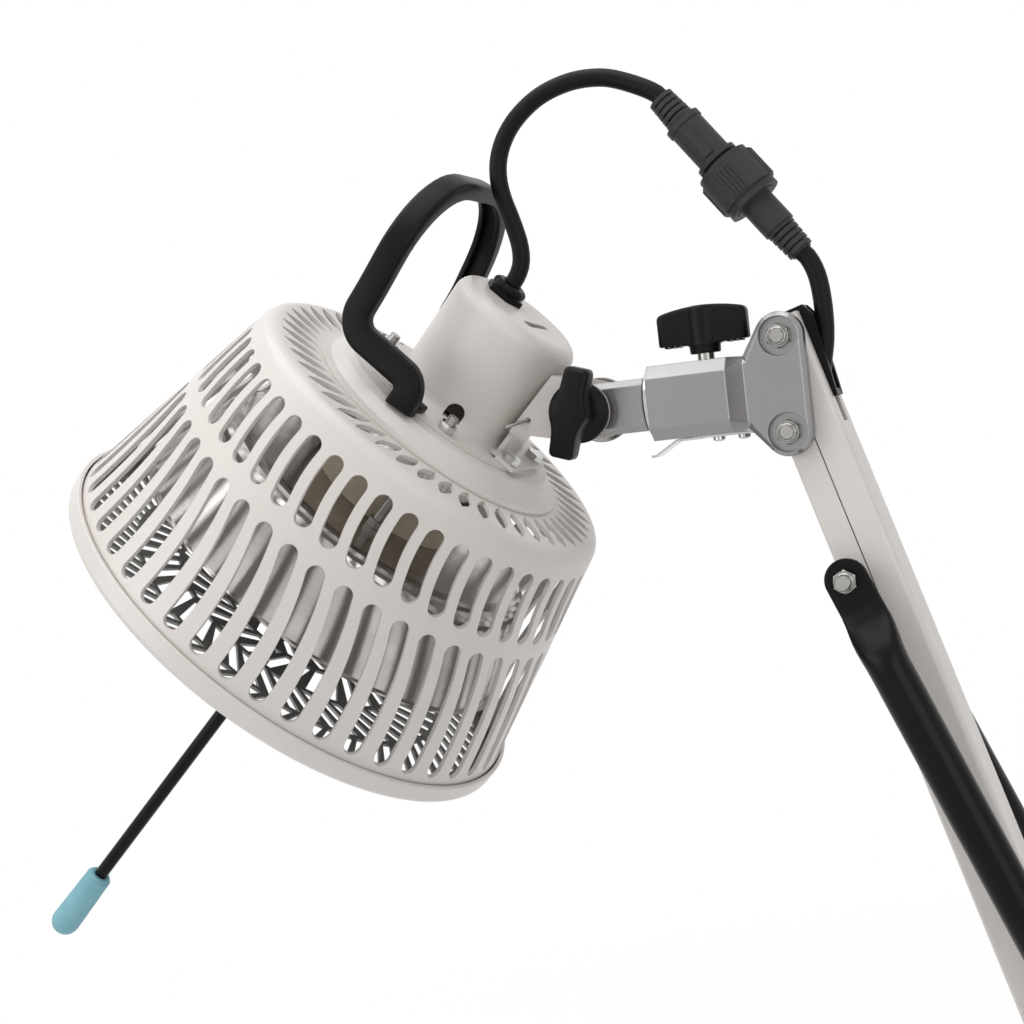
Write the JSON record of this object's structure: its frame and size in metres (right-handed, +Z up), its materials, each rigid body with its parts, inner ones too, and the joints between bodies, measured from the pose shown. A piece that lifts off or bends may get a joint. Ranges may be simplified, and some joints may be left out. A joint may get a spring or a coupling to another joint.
{
  "type": "pet dryer",
  "caption": "Infrared warming and drying lamp for animals: slotted shade with mineral heater, tilt knob, handle and distance rod, on a parallelogram arm with two struts",
  "frame": {"origin": "centre of the mast spigot at the height of its shoulder, where it meets the mast's top", "axes": "+Z up the mast, +X away from the lamp head behind the arm, +Y across the arm; arm and head lie in the plane y = 0"},
  "size_m": [0.61, 0.26, 0.6906],
  "materials": {
    "white_enamel": "warm white powder coat",
    "cast_silver": "satin silver paint on a casting",
    "zinc_steel": "zinc plated",
    "chrome": "bright plated",
    "polished_aluminium": "polished reflector",
    "guard_wire": "plated, dulled by heat",
    "black_plastic": "moulded, fine grain",
    "grey_plastic": "dark grey, moulded",
    "black_paint": "semi-gloss black",
    "blue_sleeve": "soft, pale blue",
    "ceramic_beige": "unglazed",
    "mineral": "dark fired mineral",
    "cable_black": "round flexible cable"
  },
  "bodies": {
    "mast": {"mast_yoke": "cast_silver", "lower_pivot_bolts": "zinc_steel", "lower_pivot_nuts": "zinc_steel", "lower_washers": "black_plastic"},
    "front_arm": {"front_channel": "white_enamel", "strut_bolt": "zinc_steel", "strut_nuts": "zinc_steel", "strut_spacers": "black_plastic"},
    "rear_arm": {"rear_channel": "white_enamel", "cable_clip": "black_plastic"},
    "bracket": {"clevis_bracket": "cast_silver", "pivot_bolts": "zinc_steel", "pivot_nuts": "zinc_steel", "pivot_washers": "black_plastic", "swivel_bush": "chrome", "latch_clamp": "chrome", "latch_screws": "chrome"},
    "latch": {"latch_leaf": "chrome"},
    "roll_knob": {"roll_knob": "black_plastic", "roll_stud": "zinc_steel"},
    "shaft": {"swivel_shaft": "cast_silver", "connector_plug": "grey_plastic", "connector_socket": "grey_plastic", "cord_arm": "cable_black"},
    "connector_nut": {"connector_nut": "grey_plastic"},
    "tilt_knob": {"tilt_knob": "black_plastic"},
    "head": {"tilt_bracket": "white_enamel", "bracket_screws": "chrome", "tilt_bolt": "zinc_steel", "stop_wire": "zinc_steel", "neck_housing": "white_enamel", "neck_nuts": "chrome", "mounting_plate": "white_enamel", "plate_studs": "zinc_steel", "stud_nuts": "zinc_steel", "cage": "white_enamel", "rim_ring": "white_enamel", "front_guard": "guard_wire", "reflector": "polished_aluminium", "mineral_plate": "mineral", "heater_element": "ceramic_beige", "ceramic_stack": "ceramic_beige", "insulation_disc": "zinc_steel", "terminal_block": "ceramic_beige", "handle": "black_plastic", "handle_screws": "chrome", "cable_gland": "black_plastic", "gland_nut": "black_plastic", "distance_rod": "black_paint", "rod_nut": "black_plastic", "rod_tip": "blue_sleeve", "cord_head": "cable_black"},
    "strut_tubes": {"strut_tubes": "black_paint", "strut_caps": "black_plastic"},
    "strut_rods": {"strut_rods": "zinc_steel"}
  },
  "joints": [
    {"name": "arm_lift", "type": "hinge", "parent": "mast", "child": "front_arm", "pos_m": [-0.02, 0, 0.06], "axis": [0, -1, 0], "range_deg": [0, 45]},
    {"name": "rear_lift", "type": "hinge", "parent": "mast", "child": "rear_arm", "pos_m": [-0.02, 0, 0.1035], "axis": [0, -1, 0], "range_deg": [0, 45]},
    {"name": "bracket_level", "type": "hinge", "parent": "rear_arm", "child": "bracket", "pos_m": [-0.13718, 0, 0.50682], "axis": [0, -1, 0], "range_deg": [-45, 0], "deforming": ["cord_arm"]},
    {"name": "strut_tube_swing", "type": "hinge", "parent": "front_arm", "child": "strut_tubes", "pos_m": [-0.11728, 0, 0.39485], "axis": [0, -1, 0], "range_deg": [-4, 1]},
    {"name": "strut_rod_swing", "type": "hinge", "parent": "mast", "child": "strut_rods", "pos_m": [0.0215, 0, 0.06], "axis": [0, -1, 0], "range_deg": [0, 43]},
    {"name": "head_roll", "type": "hinge", "parent": "bracket", "child": "shaft", "pos_m": [-0.19, 0, 0.48302], "axis": [1, 0, 0], "range_deg": [-30, 30]},
    {"name": "head_tilt", "type": "hinge", "parent": "shaft", "child": "head", "pos_m": [-0.23578, 0, 0.48302], "axis": [0, 1, 0], "range_deg": [-25, 38], "deforming": ["cord_head"]},
    {"name": "tilt_knob_turn", "type": "hinge", "parent": "head", "child": "tilt_knob", "pos_m": [-0.23578, 0, 0.48302], "axis": [0, -1, 0], "range_deg": [-180, 180]},
    {"name": "roll_knob_turn", "type": "hinge", "parent": "bracket", "child": "roll_knob", "pos_m": [-0.17648, 0, 0.51], "axis": [0, 0, 1], "range_deg": [-180, 180]},
    {"name": "latch_press", "type": "hinge", "parent": "bracket", "child": "latch", "pos_m": [-0.18148, 0, 0.46462], "axis": [0, -1, 0], "range_deg": [0, 10], "stiffness_Nm_per_rad": 0.3},
    {"name": "connector_nut_turn", "type": "hinge", "parent": "shaft", "child": "connector_nut", "pos_m": [-0.1847, 0, 0.6238], "axis": [0.5906, 0, -0.807], "range_deg": [0, 90]}
  ],
  "couplings": [
    {"joint": "rear_lift", "follows": "arm_lift", "ratio": 1},
    {"joint": "bracket_level", "follows": "arm_lift", "ratio": -1},
    {"joint": "strut_tube_swing", "follows": "arm_lift", "ratio": -0.07},
    {"joint": "strut_rod_swing", "follows": "arm_lift", "ratio": 0.93}
  ]
}
